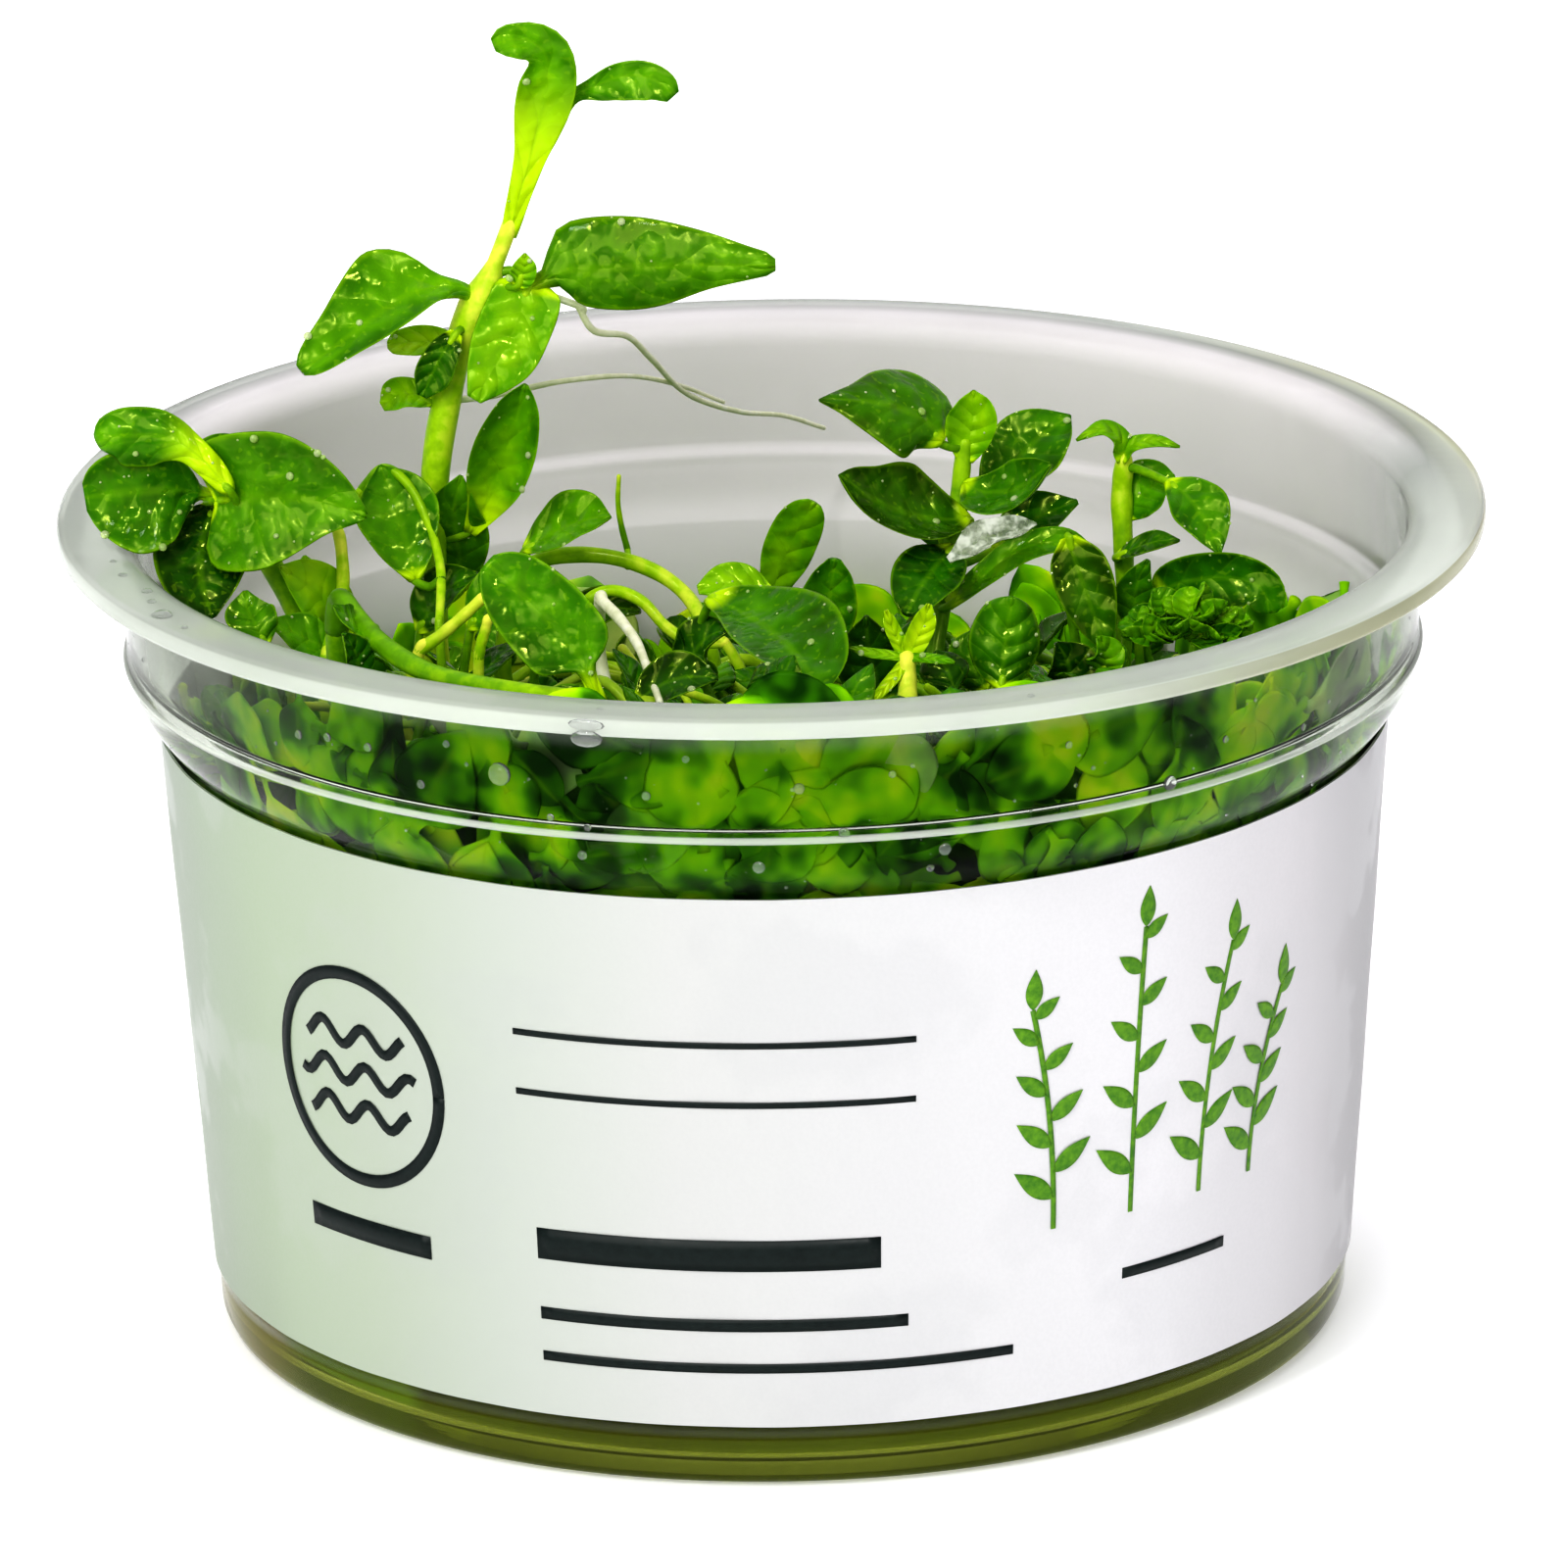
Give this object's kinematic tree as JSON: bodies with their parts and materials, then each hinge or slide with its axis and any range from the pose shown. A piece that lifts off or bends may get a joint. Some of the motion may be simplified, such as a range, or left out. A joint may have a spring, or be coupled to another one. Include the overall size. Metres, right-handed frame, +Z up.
{
  "type": "tissue-cultured aquarium plant in a clear cup",
  "caption": "Clear tapered plastic cup with a wide rim, a wrap-round label, a layer of nutrient gel and a dense clump of small-leaved green water plants standing above the rim.",
  "frame": {"origin": "on the cup's axis, on the surface that the cup stands on", "axes": "+Z up along the cup's axis, -Y towards the middle of the label, +X to the right of the label seen from the front"},
  "size_m": [0.1, 0.1, 0.0921],
  "materials": {
    "clear_plastic": "clear, slightly milky at the rim",
    "label_paper": "satin coated, a little damp",
    "gel": "wet, cloudy yellow-green gel",
    "low_growth": "wet dark green leaves",
    "stem": "smooth, translucent yellow-green",
    "root": "thin, whitish",
    "leaf": "glossy wet leaf",
    "dried_leaf": "papery, half clear"
  },
  "bodies": {
    "root": {"cup": "clear_plastic", "label": "label_paper", "leaf_arching": "leaf", "leaf_centre_big": "leaf", "leaf_centre_left": "leaf", "leaf_centre_standing": "leaf", "leaf_centre_upright": "leaf", "leaf_dried": "dried_leaf", "leaf_front": "leaf", "leaf_front_left": "leaf", "leaf_left_behind": "leaf", "leaf_left_far": "leaf", "leaf_left_hanging": "leaf", "leaf_left_heart": "leaf", "leaf_left_round": "leaf", "leaf_low_arched": "leaf", "leaf_low_left": "leaf", "leaf_low_round": "leaf", "leaf_middle_back": "leaf", "leaf_middle_bud": "leaf", "leaf_middle_left": "leaf", "leaf_middle_low": "leaf", "leaf_middle_right": "leaf", "leaf_middle_round": "leaf", "leaf_middle_top": "leaf", "leaf_right_far": "leaf", "leaf_right_hanging": "leaf", "leaf_right_lower": "leaf", "leaf_right_top_left": "leaf", "leaf_right_top_right": "leaf", "leaf_right_upper": "leaf", "leaf_right_wide": "leaf", "leaf_standing": "leaf", "leaf_star_left": "leaf", "leaf_star_right": "leaf", "leaf_star_top": "leaf", "leaf_tall_bract": "leaf", "leaf_tall_bud": "leaf", "leaf_tall_left": "leaf", "leaf_tall_low": "leaf", "leaf_tall_right": "leaf", "leaf_tall_small": "leaf", "leaf_top_left": "leaf", "leaf_top_right": "leaf", "leaves_curled": "leaf", "nutrient_gel": "gel", "root_front": "root", "root_long": "root", "root_short": "root", "stem_arched": "stem", "stem_front": "stem", "stem_left": "stem", "stem_looped": "stem", "stem_middle": "stem", "stem_pale": "stem", "stem_right": "stem", "stem_star": "stem", "stem_tall": "stem", "undergrowth": "low_growth"}
  },
  "joints": []
}
